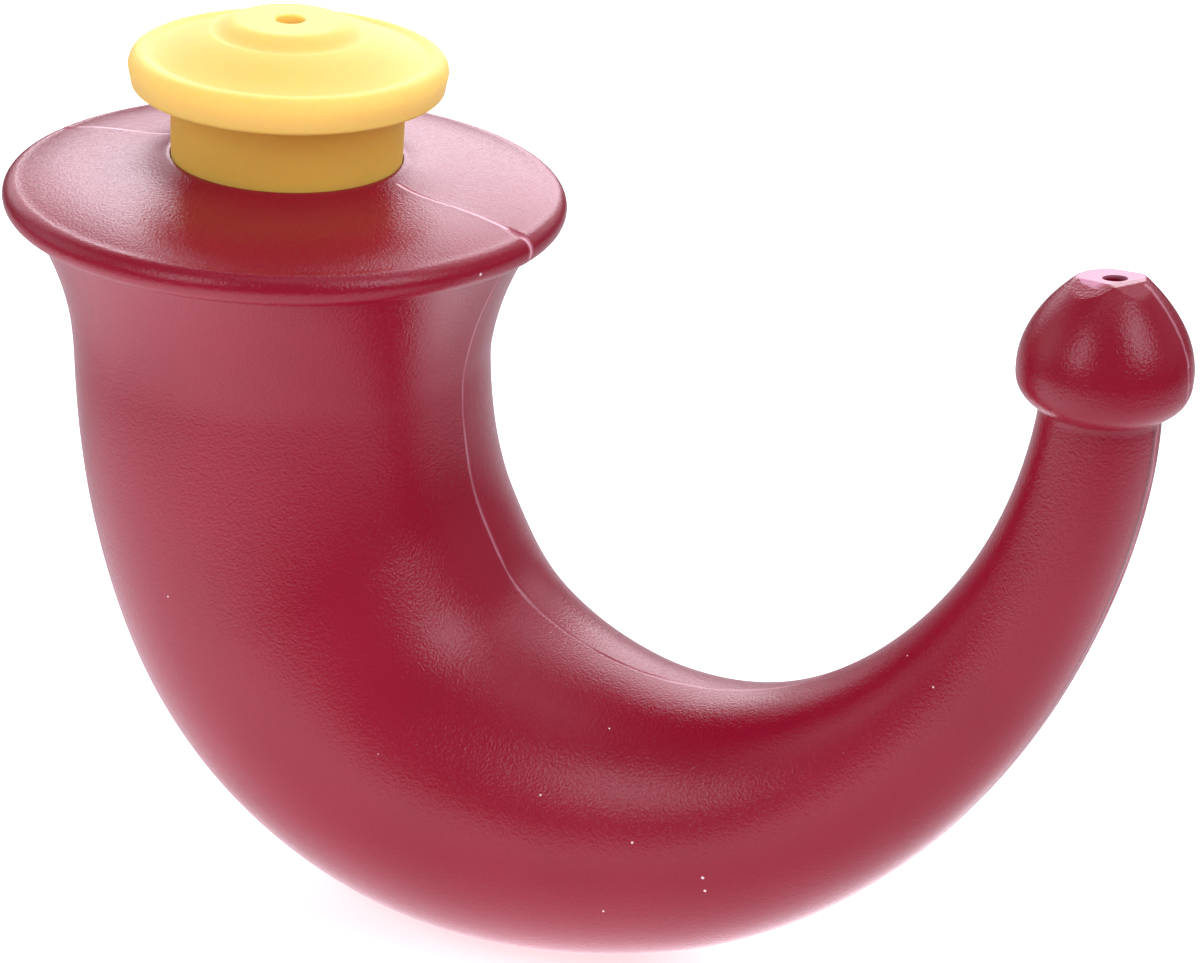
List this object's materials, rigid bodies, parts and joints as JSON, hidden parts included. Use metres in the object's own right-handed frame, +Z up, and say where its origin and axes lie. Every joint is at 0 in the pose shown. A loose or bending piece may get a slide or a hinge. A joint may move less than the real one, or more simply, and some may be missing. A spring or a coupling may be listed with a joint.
{
  "type": "nasal rinsing pot",
  "caption": "Horn-shaped nasal rinsing pot with a wide filling deck, a tapering spout that ends in a domed nozzle, and a push-in stopper with a finger vent.",
  "frame": {"origin": "on the table, under the middle of the whole pot's outline", "axes": "+X runs from the filling deck to the nozzle, +Z is up"},
  "size_m": [0.176, 0.08, 0.1289],
  "materials": {
    "red_plastic": "semi-gloss, finely pebbled",
    "yellow_plastic": "soft satin, slightly translucent"
  },
  "bodies": {
    "pot": {"horn_body": "red_plastic"},
    "stopper": {"stopper": "yellow_plastic"}
  },
  "joints": [
    {"name": "stopper_lift", "type": "slide", "parent": "pot", "child": "stopper", "axis": [0, 0, 1], "range_m": [0, 0.04]}
  ]
}
